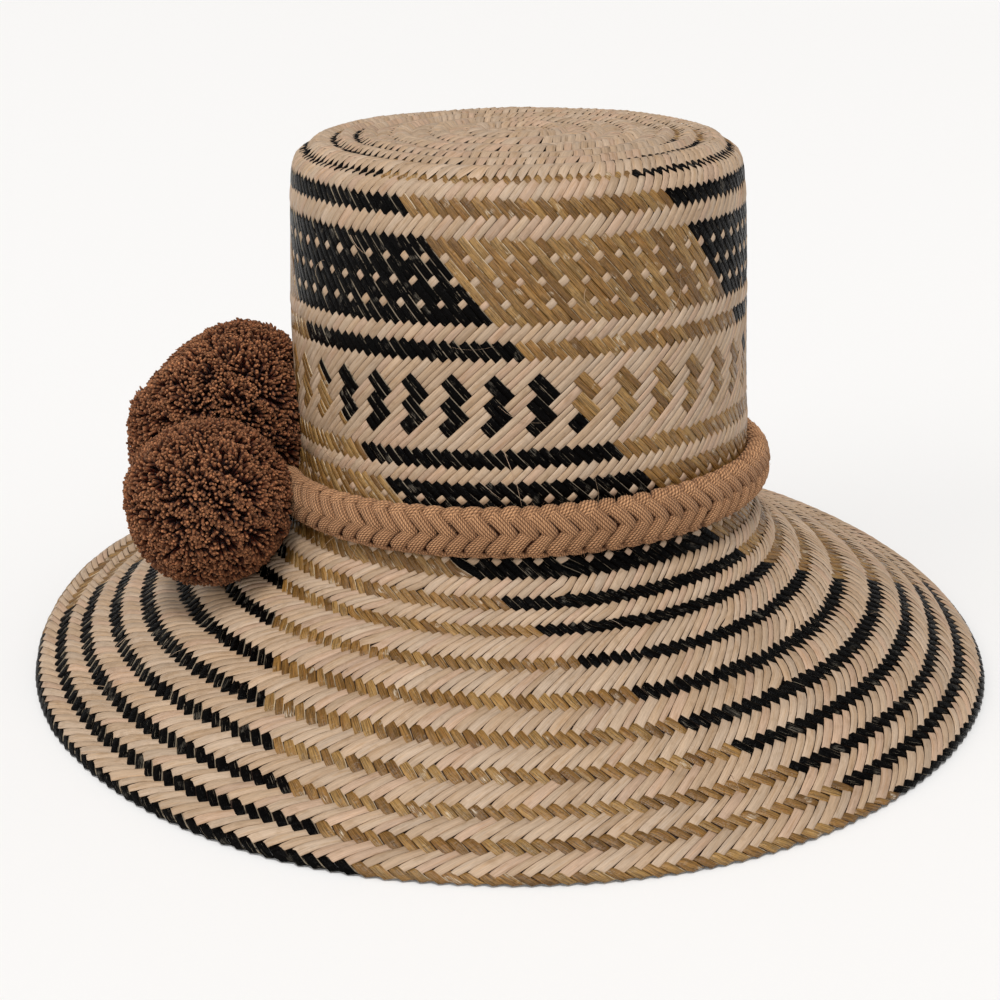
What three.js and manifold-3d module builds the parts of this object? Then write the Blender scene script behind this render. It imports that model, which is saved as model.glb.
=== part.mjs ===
// A woven straw hat with a plaited band and two pompoms. Sizes are in mm, +Z is up and the front is -Y.
import * as THREE from "three";
import Module from "manifold-3d";

const wasm = await Module();
wasm.setup();

// Hat body: one woven wall from the middle of the crown's top to the rim.
const WALL = 2.0;
const BODY_SEGMENTS = 48;
const RIM_RADIUS = 202.7;
const RIM_FOOT_WIDTH = 5.2;
const RIM_FOOT_RISE = 4.6;

// Outer outline of the hat: radius and height of each ring.
const OUTLINE = [
  { radius: 0, height: 213.2 },
  { radius: 30, height: 213.0 },
  { radius: 60.6, height: 212.2 },
  { radius: 75, height: 211.1 },
  { radius: 82, height: 209.7 },
  { radius: 87, height: 207.0 },
  { radius: 89.3, height: 203.0 },
  { radius: 90.2, height: 195.3 },
  { radius: 90.9, height: 189.6 },
  { radius: 92.6, height: 153.9 },
  { radius: 93.1, height: 140.6 },
  { radius: 93.8, height: 107.6 },
  { radius: 94.6, height: 93.0 },
  { radius: 95.3, height: 83.0 },
  { radius: 96.4, height: 74.5 },
  { radius: 98.6, height: 66.5 },
  { radius: 102, height: 60.0 },
  { radius: 106.8, height: 54.0 },
  { radius: 112.6, height: 48.4 },
  { radius: 126.9, height: 40.2 },
  { radius: 140.2, height: 33.4 },
  { radius: 155.4, height: 27.6 },
  { radius: 168.2, height: 21.6 },
  { radius: 180.4, height: 14.8 },
  { radius: 191.9, height: 8.6 },
  { radius: RIM_RADIUS, height: 2.8 },
];

// A hand-shaped crown isn't quite true. At each height its centre is shifted to +X, and its ring is
// higher on the right or at the back by the stated amounts, which are measured at LEAN_RADIUS.
const LEAN_RADIUS = 93;
const LEAN = [
  { height: 0, shift: 0, right: 0, back: 0 },
  { height: 40, shift: 0.6, right: 0, back: 0 },
  { height: 66, shift: 3.4, right: 1.6, back: -1.8 },
  { height: 93, shift: 4.7, right: 4.0, back: -4.4 },
  { height: 110, shift: 4.4, right: 4.5, back: -3.2 },
  { height: 154, shift: 3.0, right: 2.6, back: -2.0 },
  { height: 196, shift: 2.9, right: 1.0, back: 3.0 },
  { height: 213.2, shift: 2.5, right: 0.8, back: 4.2 },
];

// The brim droops less at two sides: beyond RISE_RADIUS it rises there, by these heights at the rim.
// Angles run from the front towards +X and are in degrees. A rise is gone at its width from its angle.
const RISE_RADIUS = 160;
const RISES = [
  { angle: -105, width: 45, height: 9 },
  { angle: 142, width: 42, height: 7 },
];

// Band: a padded plait around the foot of the crown, higher on the right than on the left.
const BAND_SEGMENTS = 72;
const BAND_GAP = 0.4;
const BAND_PLACE = { height: 76.0, right: 1.0, back: -0.9 };
// Section of the plait: distance up along the hat's wall and distance out from the wall.
const BAND_SECTION = [
  { up: -7.3, out: 0 },
  { up: -9.6, out: 2.4 },
  { up: -9.2, out: 5.6 },
  { up: -7.1, out: 8.2 },
  { up: -4.0, out: 9.5 },
  { up: -0.5, out: 8.7 },
  { up: 2.7, out: 9.7 },
  { up: 5.2, out: 8.8 },
  { up: 7.5, out: 9.0 },
  { up: 9.3, out: 6.8 },
  { up: 9.7, out: 3.5 },
  { up: 8.1, out: 0 },
];

// Pompoms: balls of yarn locks on a round head, pressed against the crown, the brim and each other.
// The yarns reach less far on the flat side.
const POMPOM_GAP = 0.45;
const POMPOMS = [
  {
    name: "pompom_upper",
    centre: new THREE.Vector3(-119.5, -2, 95),
    radius: 40,
    flatSide: new THREE.Vector3(-0.63, 0, 0.777),
    flatReach: 33.5,
    seed: 3,
    color: "#56341f",
  },
  {
    name: "pompom_lower",
    centre: new THREE.Vector3(-119, -51, 77.5),
    radius: 34,
    flatSide: new THREE.Vector3(0, 0, 1),
    flatReach: 33,
    seed: 11,
    color: "#5e3a23",
  },
];
// Round head inside the locks, as a part of the pompom's radius, and its facets.
const HEAD_SHARE = 0.8;
const HEAD_SIDES = 12;
const HEAD_ROWS = 8;
const LOCKS = 36;
const LOCK_SIDES = 5;
const LOCK_JITTER = 0.045;
// Outline of one lock, as parts of the pompom's radius: half width, and distance from the centre.
const LOCK_OUTLINE = [
  { width: 0, reach: 0.45 },
  { width: 0.12, reach: 0.45 },
  { width: 0.25, reach: 0.87 },
  { width: 0.16, reach: 0.98 },
  { width: 0, reach: 1.0 },
];

// Colours and surface roughness.
const STRAW_COLOR = "#c9ab86";
const STRAW_ROUGHNESS = 0.7;
const COTTON_COLOR = "#9a6b42";
const COTTON_ROUGHNESS = 0.95;

// Corners closer than this are one corner, and cutting blocks are this many radii wide.
const MERGE_DISTANCE = 0.0001;
const BLOCK_RADII = 4;

function mix(from, to, share) {
  return from + (to - from) * share;
}

// Shift and tilt of the hat's rings at a height, from the LEAN table.
function leanAt(height) {
  const last = LEAN.length - 1;
  let upper = 1;
  while (upper < last && LEAN[upper].height < height) {
    upper += 1;
  }
  const low = LEAN[upper - 1];
  const high = LEAN[upper];
  const share = THREE.MathUtils.clamp((height - low.height) / (high.height - low.height), 0, 1);
  return {
    shift: mix(low.shift, high.shift, share),
    right: mix(low.right, high.right, share),
    back: mix(low.back, high.back, share),
  };
}

// How much higher the brim is at a place, from the RISES table.
function riseAt(radius, angle) {
  const outwards = Math.max(radius - RISE_RADIUS, 0) / (RIM_RADIUS - RISE_RADIUS);
  let total = 0;
  for (const rise of RISES) {
    const turned = angle - THREE.MathUtils.degToRad(rise.angle);
    const apart = THREE.MathUtils.radToDeg(Math.acos(Math.cos(turned)));
    const share = Math.cos((Math.min(apart / rise.width, 1) * Math.PI) / 2);
    total += rise.height * share ** 2;
  }
  return total * outwards ** 2;
}

// A point of the leaning hat. The angle runs from the front (-Y) towards +X.
function place(radius, height, angle) {
  const lean = leanAt(height);
  const tilt = (lean.right * Math.sin(angle) - lean.back * Math.cos(angle)) * (radius / LEAN_RADIUS);
  return new THREE.Vector3(
    lean.shift + radius * Math.sin(angle),
    -radius * Math.cos(angle),
    Math.max(height + tilt, 0) + riseAt(radius, angle),
  );
}

// Outline points moved by a distance along their outward normals.
function offsetOutline(distance) {
  return OUTLINE.map((point, index) => {
    const before = OUTLINE[Math.max(index - 1, 0)];
    const after = OUTLINE[Math.min(index + 1, OUTLINE.length - 1)];
    const along = new THREE.Vector2(after.radius - before.radius, after.height - before.height).normalize();
    const onAxis = point.radius === 0;
    return {
      radius: onAxis ? 0 : point.radius - along.y * distance,
      height: point.height + (onAxis ? 1 : along.x) * distance,
    };
  });
}

// Closed body from rings that begin and end on the axis.
function bodyFromRings(rings, segments) {
  const positions = [];
  const faces = [];
  const starts = [];
  for (const ring of rings) {
    starts.push(positions.length / 3);
    const count = ring.radius === 0 ? 1 : segments;
    for (let index = 0; index < count; index += 1) {
      const point = place(ring.radius, ring.height, (index / segments) * Math.PI * 2);
      positions.push(point.x, point.y, point.z);
    }
  }
  for (let ring = 0; ring + 1 < rings.length; ring += 1) {
    const fromPole = rings[ring].radius === 0;
    const toPole = rings[ring + 1].radius === 0;
    for (let index = 0; index < segments; index += 1) {
      const next = (index + 1) % segments;
      const a = starts[ring] + (fromPole ? 0 : index);
      const b = starts[ring] + (fromPole ? 0 : next);
      const c = starts[ring + 1] + (toPole ? 0 : next);
      const d = starts[ring + 1] + (toPole ? 0 : index);
      if (!fromPole) {
        faces.push(a, c, b);
      }
      if (!toPole) {
        faces.push(a, d, c);
      }
    }
  }
  return geometryFrom(positions, faces);
}

function geometryFrom(positions, faces) {
  const geometry = new THREE.BufferGeometry();
  geometry.setAttribute("position", new THREE.Float32BufferAttribute(positions, 3));
  geometry.setIndex(faces);
  geometry.computeVertexNormals();
  return geometry;
}

function hatBody() {
  const inner = offsetOutline(-WALL);
  inner.pop();
  const foot = [
    { radius: RIM_RADIUS, height: 0 },
    { radius: RIM_RADIUS - RIM_FOOT_WIDTH, height: 0 },
    { radius: RIM_RADIUS - RIM_FOOT_WIDTH - 1, height: RIM_FOOT_RISE },
  ];
  return bodyFromRings([...OUTLINE, ...foot, ...inner.reverse()], BODY_SEGMENTS);
}

// Solid shape of the whole hat, grown by a gap, that keeps other pieces clear of it.
function hatClearance(gap) {
  const outer = offsetOutline(gap);
  const base = [
    { radius: RIM_RADIUS, height: -gap },
    { radius: 0, height: -gap },
  ];
  return bodyFromRings([...outer, ...base], BODY_SEGMENTS);
}

// Point and outward normal of the outline at a distance along it from a starting height.
function wallAt(height, up) {
  let index = OUTLINE.findIndex((point) => point.height < height);
  const low = OUTLINE[index];
  const high = OUTLINE[index - 1];
  const share = (height - low.height) / (high.height - low.height);
  let current = new THREE.Vector2(mix(low.radius, high.radius, share), height);
  let left = Math.abs(up);
  const step = up > 0 ? -1 : 1;
  let target = up > 0 ? index - 1 : index;
  for (;;) {
    const corner = new THREE.Vector2(OUTLINE[target].radius, OUTLINE[target].height);
    const length = corner.distanceTo(current);
    if (length >= left) {
      current.lerp(corner, left / length);
      break;
    }
    left -= length;
    current = corner;
    target += step;
  }
  const lower = OUTLINE[OUTLINE.findIndex((point) => point.height < current.y)];
  const upper = OUTLINE[OUTLINE.indexOf(lower) - 1];
  const along = new THREE.Vector2(lower.radius - upper.radius, lower.height - upper.height).normalize();
  return { point: current, normal: new THREE.Vector2(-along.y, along.x) };
}

// Ring of the plait's section that follows the hat's wall, grown by an amount on every side.
function bandRing(grow) {
  const count = BAND_SECTION.length;
  const positions = [];
  const faces = [];
  for (let segment = 0; segment < BAND_SEGMENTS; segment += 1) {
    const angle = (segment / BAND_SEGMENTS) * Math.PI * 2;
    const height = BAND_PLACE.height + BAND_PLACE.right * Math.sin(angle) - BAND_PLACE.back * Math.cos(angle);
    for (const corner of BAND_SECTION) {
      const wall = wallAt(height, corner.up);
      const upwards = new THREE.Vector2(-wall.normal.y, wall.normal.x);
      const out = BAND_GAP + corner.out + (corner.out > 0 ? grow : -grow);
      const spot = wall.point.clone().addScaledVector(wall.normal, out);
      spot.addScaledVector(upwards, Math.sign(corner.up) * grow);
      const point = place(spot.x, spot.y, angle);
      positions.push(point.x, point.y, point.z);
    }
  }
  for (let segment = 0; segment < BAND_SEGMENTS; segment += 1) {
    const here = segment * count;
    const ahead = ((segment + 1) % BAND_SEGMENTS) * count;
    for (let index = 0; index < count; index += 1) {
      const next = (index + 1) % count;
      faces.push(here + index, ahead + next, here + next);
      faces.push(here + index, ahead + index, ahead + next);
    }
  }
  return geometryFrom(positions, faces);
}

// Closed solid for joins and cuts, with equal corners merged.
function toSolid(geometry) {
  const places = new Map();
  const vertices = [];
  const position = geometry.getAttribute("position");
  const order = geometry.index.array;
  const merged = Array.from({ length: position.count }, (unused, index) => {
    const point = [position.getX(index), position.getY(index), position.getZ(index)];
    const key = point.map((value) => Math.round(value / MERGE_DISTANCE)).join(" ");
    if (!places.has(key)) {
      places.set(key, vertices.length / 3);
      vertices.push(...point);
    }
    return places.get(key);
  });
  const corners = [];
  for (let index = 0; index < order.length; index += 3) {
    const face = [merged[order[index]], merged[order[index + 1]], merged[order[index + 2]]];
    if (new Set(face).size === 3) {
      corners.push(...face);
    }
  }
  const mesh = new wasm.Mesh({
    numProp: 3,
    vertProperties: new Float32Array(vertices),
    triVerts: new Uint32Array(corners),
  });
  return new wasm.Manifold(mesh);
}

function fromSolid(solid) {
  const mesh = solid.getMesh();
  return geometryFrom(Array.from(mesh.vertProperties), Array.from(mesh.triVerts));
}

// Evenly spread directions on a ball.
function direction(index, count) {
  const up = 1 - (2 * index + 1) / count;
  const turn = index * Math.PI * (3 - Math.sqrt(5));
  const flat = Math.sqrt(1 - up * up);
  return new THREE.Vector3(flat * Math.cos(turn), flat * Math.sin(turn), up);
}

// Repeatable numbers from 0 to 1, each made from the last by a multiplication and a remainder.
function randomFrom(seed) {
  const factor = 16807;
  const modulus = 2147483647;
  let state = seed;
  return () => {
    state = (state * factor) % modulus;
    return state / modulus;
  };
}

// One lock of yarn, standing on the pompom's centre and reaching out along a direction.
function lock(radius, length, towards) {
  const reach = radius * length;
  const points = LOCK_OUTLINE.map((point) => new THREE.Vector2(point.width * radius, point.reach * reach));
  const geometry = new THREE.LatheGeometry(points, LOCK_SIDES);
  geometry.applyQuaternion(new THREE.Quaternion().setFromUnitVectors(new THREE.Vector3(0, 1, 0), towards));
  return geometry;
}

// Head with its locks, centred on the origin.
function pompomBall(pompom) {
  const random = randomFrom(pompom.seed);
  let ball = toSolid(new THREE.SphereGeometry(pompom.radius * HEAD_SHARE, HEAD_SIDES, HEAD_ROWS));
  for (let index = 0; index < LOCKS; index += 1) {
    const length = 1 + LOCK_JITTER * (random() * 2 - 1);
    ball = ball.add(toSolid(lock(pompom.radius, length, direction(index, LOCKS))));
  }
  return ball.translate(pompom.centre.toArray());
}

// Block that fills the space beyond a plane at a distance from a pompom's centre.
function blockBeyond(pompom, towards, distance) {
  const size = BLOCK_RADII * pompom.radius;
  const centre = pompom.centre.clone().addScaledVector(towards, distance + size / 2);
  const block = new THREE.BoxGeometry(size, size, size);
  block.applyQuaternion(new THREE.Quaternion().setFromUnitVectors(new THREE.Vector3(0, 0, 1), towards));
  block.translate(centre.x, centre.y, centre.z);
  return toSolid(block);
}

// Space beyond the plane where one pompom meets the other.
function beyondNeighbour(pompom, neighbour) {
  const towards = neighbour.centre.clone().sub(pompom.centre);
  const meeting = (towards.length() + pompom.radius - neighbour.radius) / 2;
  return blockBeyond(pompom, towards.normalize(), meeting - POMPOM_GAP / 2);
}

// Space beyond the flat side of a pompom.
function beyondFlatSide(pompom) {
  return blockBeyond(pompom, pompom.flatSide.clone().normalize(), pompom.flatReach);
}

// Largest of the bodies that are left after the cuts.
function largestBody(solid) {
  const bodies = solid.decompose();
  return bodies.reduce((largest, body) => (body.volume() > largest.volume() ? body : largest));
}

function addPiece(group, name, geometry, color, roughness) {
  const material = new THREE.MeshStandardMaterial({ color, roughness, metalness: 0 });
  const mesh = new THREE.Mesh(geometry, material);
  mesh.name = name;
  group.add(mesh);
}

const hat = new THREE.Group();
hat.name = "wayuu_hat";
addPiece(hat, "hat_body", hatBody(), STRAW_COLOR, STRAW_ROUGHNESS);
addPiece(hat, "hat_band", bandRing(0), COTTON_COLOR, COTTON_ROUGHNESS);

const keepClear = toSolid(hatClearance(POMPOM_GAP)).add(toSolid(bandRing(POMPOM_GAP)));
POMPOMS.forEach((pompom, index) => {
  const neighbour = POMPOMS[1 - index];
  const free = pompomBall(pompom).subtract(beyondNeighbour(pompom, neighbour));
  const shaped = free.subtract(beyondFlatSide(pompom)).subtract(keepClear);
  addPiece(hat, pompom.name, fromSolid(largestBody(shaped)), pompom.color, COTTON_ROUGHNESS);
});

export default hat;
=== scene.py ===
import math

import bpy
import numpy as np
from mathutils import Euler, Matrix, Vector


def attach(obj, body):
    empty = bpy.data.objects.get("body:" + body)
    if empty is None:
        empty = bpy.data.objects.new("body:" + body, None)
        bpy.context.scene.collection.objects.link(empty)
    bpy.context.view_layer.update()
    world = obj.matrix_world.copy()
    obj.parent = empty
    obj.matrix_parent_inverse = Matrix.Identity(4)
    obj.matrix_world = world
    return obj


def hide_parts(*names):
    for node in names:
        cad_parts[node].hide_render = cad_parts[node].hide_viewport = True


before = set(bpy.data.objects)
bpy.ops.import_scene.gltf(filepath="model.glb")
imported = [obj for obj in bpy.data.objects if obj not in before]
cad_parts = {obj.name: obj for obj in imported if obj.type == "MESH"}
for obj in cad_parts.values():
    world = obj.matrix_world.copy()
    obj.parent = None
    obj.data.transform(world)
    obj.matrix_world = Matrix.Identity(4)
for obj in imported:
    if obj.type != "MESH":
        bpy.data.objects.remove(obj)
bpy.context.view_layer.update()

MM = 0.001
TURN = 2 * math.pi
random = np.random.default_rng(7)

# Outer outline of the hat, from the middle of the crown's top to the rim: radius and height in mm.
RIM_RADIUS = 202.7
OUTLINE = np.array([
    (0, 213.2), (30, 213.0), (60.6, 212.2), (75, 211.1), (82, 209.7), (87, 207.0), (89.3, 203.0),
    (90.2, 195.3), (90.9, 189.6), (92.6, 153.9), (93.1, 140.6), (93.8, 107.6), (94.6, 93.0),
    (95.3, 83.0), (96.4, 74.5), (98.6, 66.5), (102, 60.0), (106.8, 54.0), (112.6, 48.4),
    (126.9, 40.2), (140.2, 33.4), (155.4, 27.6), (168.2, 21.6), (180.4, 14.8), (191.9, 8.6),
    (RIM_RADIUS, 2.8), (203.1, 1.5), (202.5, 0.4),
])
OUTLINE_STEP = 0.25
OUTLINE_SMOOTHING = 4.0
# Least height of the surface above the floor, before the brim's rise.
FLOOR_GAP = 0.02

# How the hand-shaped crown leans: at each height its centre's shift to +X, and how much higher its
# ring is on the right and at the back, in mm at LEAN_RADIUS.
LEAN_RADIUS = 93
LEAN = np.array([
    (0, 0, 0, 0), (40, 0.6, 0, 0), (66, 3.4, 1.6, -1.8), (93, 4.7, 4.0, -4.4),
    (110, 4.4, 4.5, -3.2), (154, 3.0, 2.6, -2.0), (196, 2.9, 1.0, 3.0), (213.2, 2.5, 0.8, 4.2),
])

# The brim droops less at two sides: beyond RISE_RADIUS it rises there. Angle from the front towards
# +X and width of the rise in degrees, and its height in mm at the rim.
RISE_RADIUS = 160
RISES = ((-105, 45, 9), (142, 42, 7))

# Handmade unevenness of the surface in mm, by distance along the outline.
WAVE = np.array([(0, 0.3), (60, 0.5), (90, 0.2), (235, 0.2), (270, 0.5), (330, 0.8), (356, 0.8)])
# Its broad and fine waves: how many go round the hat, how many mm of outline turn them by a radian,
# and where they start. The broad ones swell and fade along the outline, and the fine ones are lower.
BROAD_WAVES = 3
BROAD_TURN = 23
FADE_TURN = 31
FADE_START = 1.3
FINE_WAVES = 8
FINE_TURN = 13
FINE_START = 0.7
FINE_SHARE = 0.45

# Rings of the weave from the centre out, in three sections: distance of the far edge along the outline
# in mm, rows of crossings, strips each way, and the chart that says which strips are on top.
FIRST_ARC = 12.0
CROWN_RINGS = [
    (20.0, 3, 26, "light"), (27.0, 3, 36, "plain"), (35.0, 3, 50, "light"), (42.0, 3, 64, "plain"),
    (50.0, 3, 78, "light"), (56.0, 2, 90, "plain"), (62.0, 2, 100, "light"), (65.2, 1, 108, "dyed"),
    (70.8, 2, 116, "light"), (74.0, 1, 124, "dyed"), (82.8, 3, 134, "light"), (86.1, 1, 142, "dyed"),
    (93.0, 3, 148, "light"), (99.6, 3, 148, "dyed"), (107.7, 3, 148, "light"),
    (141.5, 15, 148, "upper squares"), (147.8, 3, 148, "light"), (154.5, 3, 148, "dyed"),
    (188.9, 17, 148, "motif"), (195.9, 3, 148, "dyed"), (202.1, 3, 148, "light"),
    (235.4, 19, 148, "lower squares"),
]
INNER_BRIM_RINGS = [
    (241.9, 4, 160, "light"), (246.7, 3, 168, "dyed"), (252.5, 4, 176, "light"), (257.2, 3, 182, "dyed"),
    (266.3, 5, 190, "light"), (271.5, 2, 196, "dyed"), (281.6, 5, 204, "light"),
]
OUTER_BRIM_RINGS = [
    (288.2, 2, 208, "dyed"), (298.1, 4, 212, "light"), (304.7, 2, 216, "dyed"), (313.2, 4, 216, "light"),
    (318.7, 2, 216, "dyed"), (327.1, 4, 216, "light"), (332.3, 2, 216, "dyed"), (339.4, 4, 216, "light"),
    (344.4, 2, 216, "dyed"), (351.5, 4, 216, "light"), (356.0, 2, 216, "dyed"),
]
RINGS = CROWN_RINGS + INNER_BRIM_RINGS + OUTER_BRIM_RINGS

# Chart of the motif band: for each of four neighbouring dyed strips, the rows where it is on top.
MOTIF_ROWS = ((4, 5, 6, 7, 12, 13), (3, 4, 5, 6, 11, 12), (8, 9, 10, 11), (7, 8, 9, 10))
MOTIF_SHIFT = 1
# In the wide stripes a plain strip shows as small squares in every fourth row.
SQUARE_EVERY = 4
SQUARE_SHIFT = {"upper squares": 1, "lower squares": 0}

# How the hand-pulled weave drifts round the hat: distance along the outline, degrees.
DRIFT = np.array([
    (0, 0), (86, 0.6), (95, 1.2), (108, 0.7), (124, 0), (141, -1.0), (155, -1.8), (189, -4.0),
    (205, -3.9), (220, -3.4), (242, -2.2), (262, -2.4),
])

# Colour groups of the dyed strips. Each starts at an angle, in degrees where the first dyed ring of
# the crown's edge lies, and runs to the next.
GROUP_REFERENCE_ARC = 82.8
GROUPS = (
    (-219.0, "black"), (-152.5, "olive"), (-95.5, "black"),
    (-35.5, "olive"), (27.5, "black"), (84.0, "olive"),
)

# A float is a stretch where a strip is on top. Places along it in crossings: how far it tucks under
# its neighbours, how close to them it comes up, and where it is flat, outside and inside.
TUCK = 0.42
COMES_UP = 0.05
FLAT_FROM = 0.3
INSIDE_FLAT_FROM = 0.1
# Its heights in mm: flat, bowed in the middle, tucked under and coming up, how far its long edges
# drop, and how much one float is higher than another.
FLOAT_TOP = 0.30
FLOAT_BOW = 0.10
FLOAT_UNDER = -0.55
FLOAT_RISING = 0.02
EDGE_DROP = 0.30
FLOAT_BULGE = (-0.06, 0.10)
# Width of a strip in mm, for the grain along it, and of its dropped edges as a part of it.
STRIP_WIDTH = 2.9
EDGE_WIDTH = 0.08
ACROSS = np.array([0, EDGE_WIDTH, 1 - EDGE_WIDTH, 1])
EDGE_LIFT = np.array([-EDGE_DROP, 0, 0, -EDGE_DROP])
# Unevenness in strip widths, how much more the plain strips have, and the most that gaps at a float's
# ends and the slant of a strip reach, as a multiple of their value in PARTS.
STRIP_JITTER = 0.11
PLAIN_JITTER = 1.3
END_GAP_MOST = 1.4
SLANT_MOST = 1.6
# How far strips that are put in stray from even places, in steps between them.
INSERT_JITTER = 0.3
# Depths in mm of the shell inside the weave, and of the weave's inner side.
LINER_DEPTH = 0.62
WALL_DEPTH = 1.55

# Parts of the hat by distance along the outline: where the part ends, how much its light rings are
# puffed up and its dyed rings lie in grooves, in mm, the gaps between its strips and at the ends of
# its floats, in strip widths, how much higher one edge of a strip lies, in mm, and how much of the
# painted crease shade at a strip's edges is left out.
PARTS = [
    {
        "end": 90, "puff": {"light": 1.9, "plain": 0.7, "dyed": -0.5},
        "gap": 0.006, "end_gap": 0.035, "shingle": 0.08, "soft_edge": 0.03,
    },
    {
        "end": 236, "puff": {"light": 0.15},
        "gap": 0.004, "end_gap": 0.035, "shingle": 0.13, "soft_edge": 0.01,
    },
    {
        "end": 400, "puff": {"light": 0.9, "dyed": -0.35},
        "gap": 0.005, "end_gap": 0.09, "shingle": 0.20, "soft_edge": 0.0,
    },
]

# Colours as red, green and blue from 0 to 1, as they look in even light.
TONES = {
    "straw": (
        (0.725, 0.635, 0.535), (0.71, 0.605, 0.495), (0.74, 0.66, 0.575), (0.73, 0.60, 0.505),
        (0.675, 0.565, 0.445),
    ),
    "olive": ((0.52, 0.375, 0.18), (0.56, 0.42, 0.225), (0.43, 0.30, 0.13), (0.61, 0.48, 0.285)),
    "black": ((0.012, 0.009, 0.009), (0.02, 0.015, 0.015), (0.006, 0.005, 0.006)),
}
# How much of the difference between these tones single strips keep, and how their lightness varies.
TONE_SPREAD = {"straw": 0.45, "olive": 0.65, "black": 0.6}
TONE_JITTER = 0.025
PALE_EDGE_TONE = (0.84, 0.77, 0.66)
# Painted highlight: the colour of sheen spots painted on dyed straw.
PAINTED_SHEEN_TONE = (0.84, 0.79, 0.71)
# Painted shade: the shell inside the weave shows only in the gaps between strips.
LINER_SHADE_TONE = (0.19, 0.115, 0.065)
COTTON_TONE = (0.745, 0.565, 0.415)
# Painted shade: the band's core, and the creases, edges and ends of its strands.
COTTON_PAINTED_SHADE = (0.27, 0.135, 0.065)
# Painted shade and light on the pompoms: dark shade deep at the yarns' feet and head, pale lit tips.
YARN_DEEP_SHADE = (0.20, 0.045, 0.012)
YARN_SIDE = (0.305, 0.11, 0.05)
YARN_LIT_TIP = (0.63, 0.43, 0.295)
# Seeds that tell single strips, strands and yarns apart are drawn from zero to these numbers.
SEEDS = {"straw": 100, "cotton": 50, "yarn": 60}


def to_linear(tone):
    """Linear values of a colour given as it looks, by the usual curve of screens."""
    tone = np.asarray(tone, float)
    return np.where(tone <= 0.04045, tone / 12.92, ((tone + 0.055) / 1.055) ** 2.4)


def between(first, second, share):
    """Linear mix of two colours that are given as they look."""
    return to_linear(first) + (to_linear(second) - to_linear(first)) * share


# The hat's surface.

def smooth_outline():
    """Distance, radius, height and outward normal along the outline, with its corners rounded."""
    steps = np.hypot(*np.diff(OUTLINE, axis=0).T)
    knots = np.concatenate([[0], np.cumsum(steps)])
    arc = np.arange(0, knots[-1], OUTLINE_STEP)
    reach = int(OUTLINE_SMOOTHING / OUTLINE_STEP / 2)
    window = np.ones(2 * reach + 1) / (2 * reach + 1)
    smoothed = []
    for column in OUTLINE.T:
        values = np.interp(arc, knots, column)
        before = 2 * values[0] - values[reach:0:-1]
        after = 2 * values[-1] - values[-2:-reach - 2:-1]
        smoothed.append(np.convolve(np.concatenate([before, values, after]), window, "valid"))
    radius, height = smoothed
    along = np.gradient(np.stack([radius, height]), axis=1)
    along /= np.hypot(*along)
    return arc, np.maximum(radius, 0), height, -along[1], along[0]


ARC, RADIUS, HEIGHT, NORMAL_OUT, NORMAL_UP = smooth_outline()


def waves(arc, angle):
    """Slow rise and fall of the handmade surface, in mm."""
    size = np.interp(arc, WAVE[:, 0], WAVE[:, 1])
    broad = np.sin(BROAD_WAVES * angle + arc / BROAD_TURN) * np.sin(arc / FADE_TURN + FADE_START)
    fine = np.sin(FINE_WAVES * angle - arc / FINE_TURN + FINE_START) * FINE_SHARE
    return size * (broad + fine)


def brim_rise(radius, angle):
    """How much higher the brim is at a place, in mm."""
    outwards = np.maximum(radius - RISE_RADIUS, 0) / (RIM_RADIUS - RISE_RADIUS)
    total = 0
    for middle, width, height in RISES:
        apart = np.degrees(np.arccos(np.cos(angle - math.radians(middle))))
        total = total + height * np.cos(np.minimum(apart / width, 1) * math.pi / 2) ** 2
    return total * outwards ** 2


def lean_at(height):
    """How far the crown's centre is shifted, and its ring raised on the right and at the back."""
    return [np.interp(height, LEAN[:, 0], LEAN[:, column]) for column in (1, 2, 3)]


def surface(arc, angle, lift):
    """Points of the leaning hat in metres. The angle runs from the front (-Y) towards +X."""
    lift = lift + waves(arc, angle)
    base = np.interp(arc, ARC, HEIGHT)
    radius = np.interp(arc, ARC, RADIUS) + np.interp(arc, ARC, NORMAL_OUT) * lift
    height = base + np.interp(arc, ARC, NORMAL_UP) * lift
    shift, right, back = lean_at(base)
    tilt = (right * np.sin(angle) - back * np.cos(angle)) * radius / LEAN_RADIUS
    height = np.maximum(height + tilt, FLOOR_GAP) + brim_rise(radius, angle)
    return np.stack([shift + radius * np.sin(angle), -radius * np.cos(angle), height], axis=-1) * MM


# The lattice of crossings. A dyed strip runs down to the right and keeps its number a; a plain strip
# runs down to the left and keeps its number b. Row g counts outwards, and b - a = g at a crossing.

RING_ROWS = np.array([ring[1] for ring in RINGS])
RING_FIRST = np.concatenate([[0], np.cumsum(RING_ROWS)])
ROW_KNOTS = RING_FIRST - 0.5
ARC_KNOTS = np.array([FIRST_ARC] + [ring[0] for ring in RINGS])
TURN_PER_RING = 180 * RING_ROWS / np.array([ring[2] for ring in RINGS])
TURN_KNOTS = np.concatenate([[0], np.cumsum(TURN_PER_RING)])


def spread_map(count, next_count):
    """Where a ring's corners meet the next ring's, which may have more strips put in."""
    added = next_count - count
    steps = np.arange(added) + 0.5 + random.uniform(-INSERT_JITTER, INSERT_JITTER, added)
    spots = np.floor(steps * count / max(added, 1))
    corners = np.arange(count + 1)
    return corners + np.searchsorted(spots, corners, side="left")


def follow(values, count, next_count, x):
    """The periodic piecewise-linear map of spread_map at any place."""
    turns = np.floor(x / count)
    return np.interp(x - turns * count, np.arange(count + 1), values) + turns * next_count


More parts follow.
